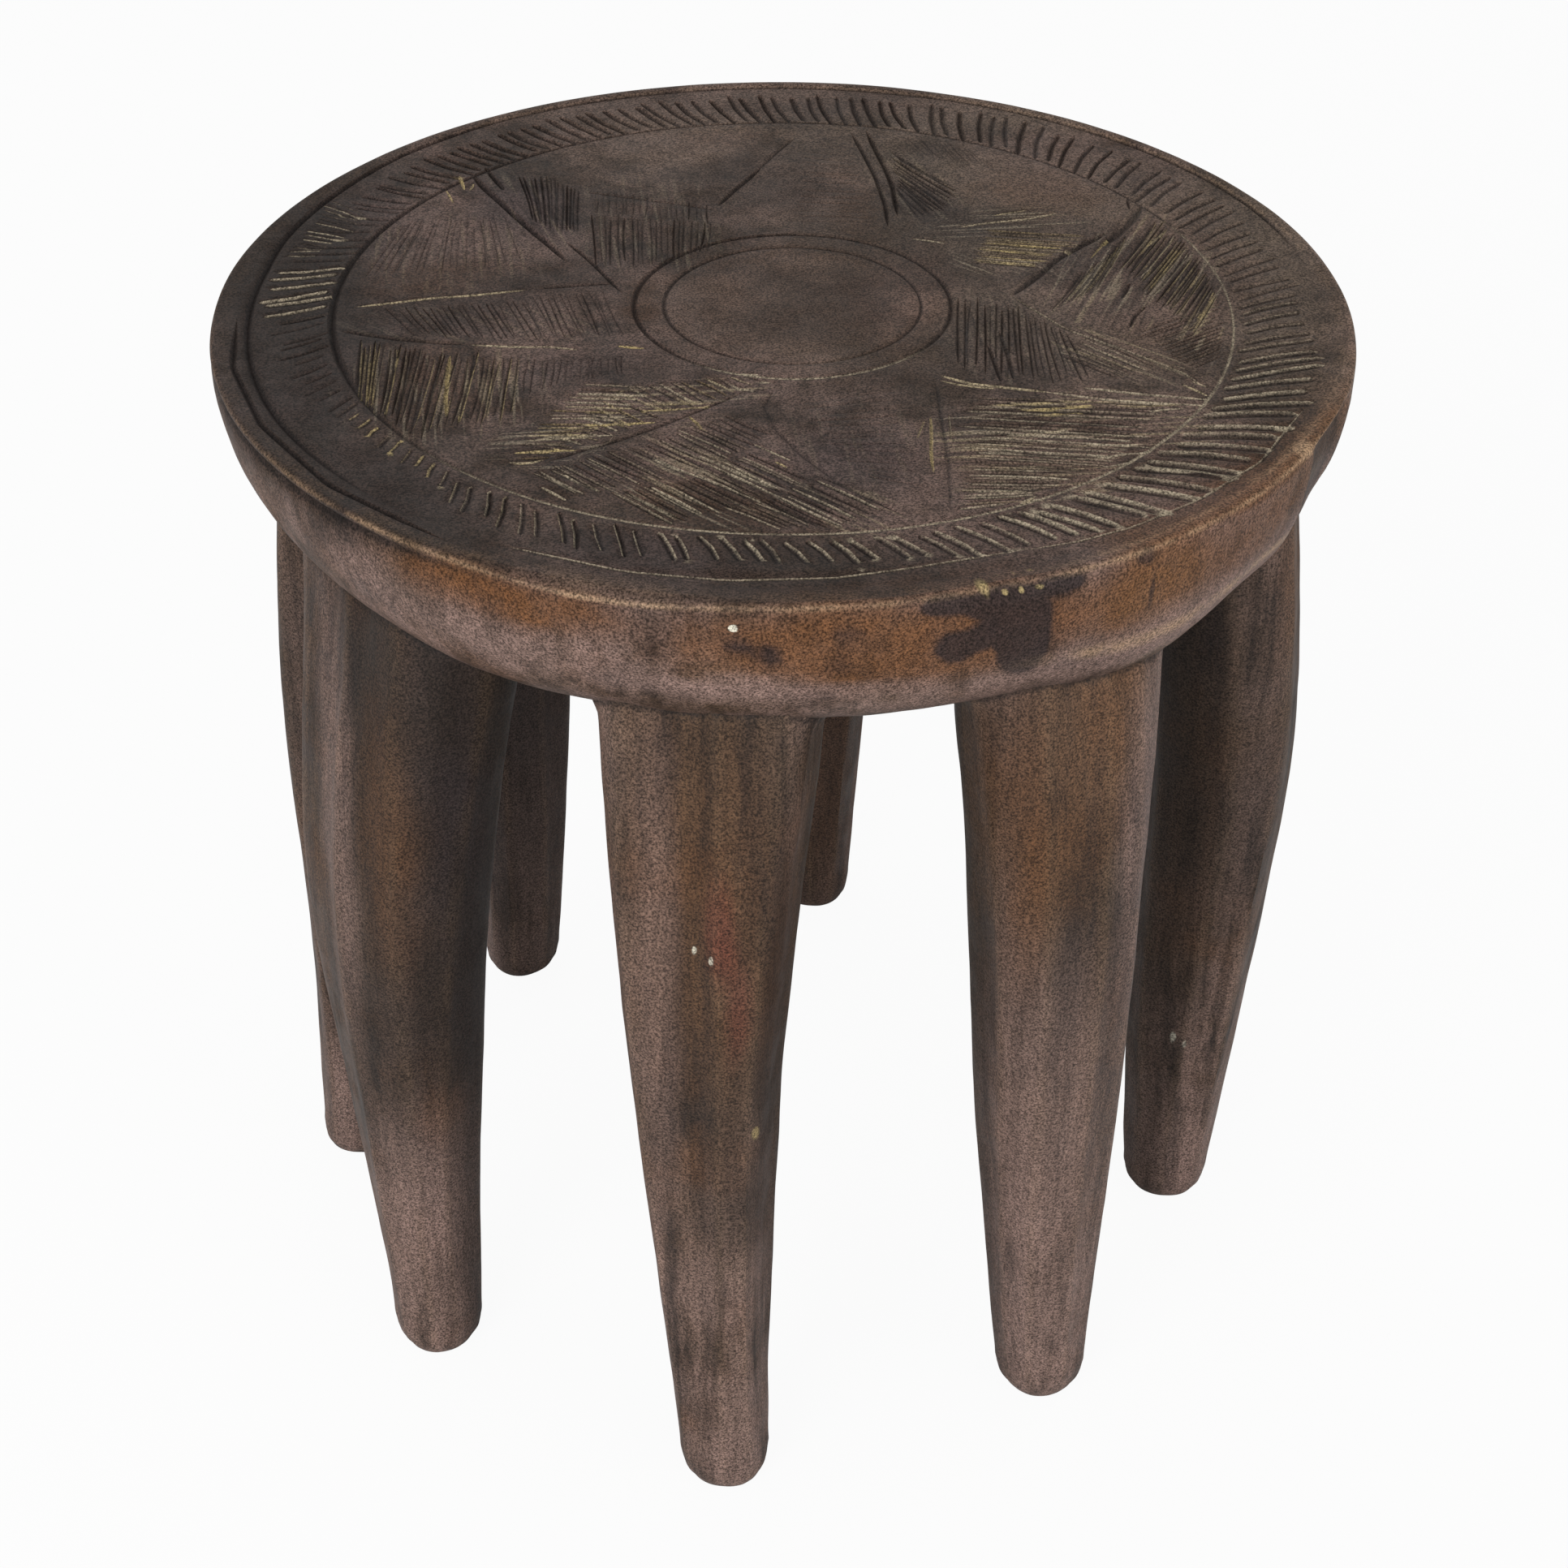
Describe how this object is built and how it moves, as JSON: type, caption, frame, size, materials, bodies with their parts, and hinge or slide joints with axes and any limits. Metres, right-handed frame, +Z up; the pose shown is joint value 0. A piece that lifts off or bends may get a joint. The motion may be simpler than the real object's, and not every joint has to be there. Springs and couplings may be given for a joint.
{
  "type": "carved wooden stool",
  "caption": "Low round wooden stool with a thick dished-edge seat, an incised star on its top and a ring of curved tapering legs.",
  "frame": {"origin": "on the floor under the centre of the seat", "axes": "+Z up; -Y towards the front, where the leg nearest the viewer stands; +X to the viewer's right"},
  "size_m": [0.4, 0.4, 0.403],
  "materials": {
    "seat_wood": "dark hand-carved hardwood with an old waxy patina, worn orange-brown on the rim",
    "leg_wood": "dark hand-hewn hardwood, satin, with long tool facets and grey-brown wear"
  },
  "bodies": {
    "root": {"seat": "seat_wood", "leg_front": "leg_wood", "leg_front_right": "leg_wood", "leg_right": "leg_wood", "leg_back_right": "leg_wood", "leg_back": "leg_wood", "leg_back_left": "leg_wood", "leg_left": "leg_wood", "leg_front_left": "leg_wood"}
  },
  "joints": []
}
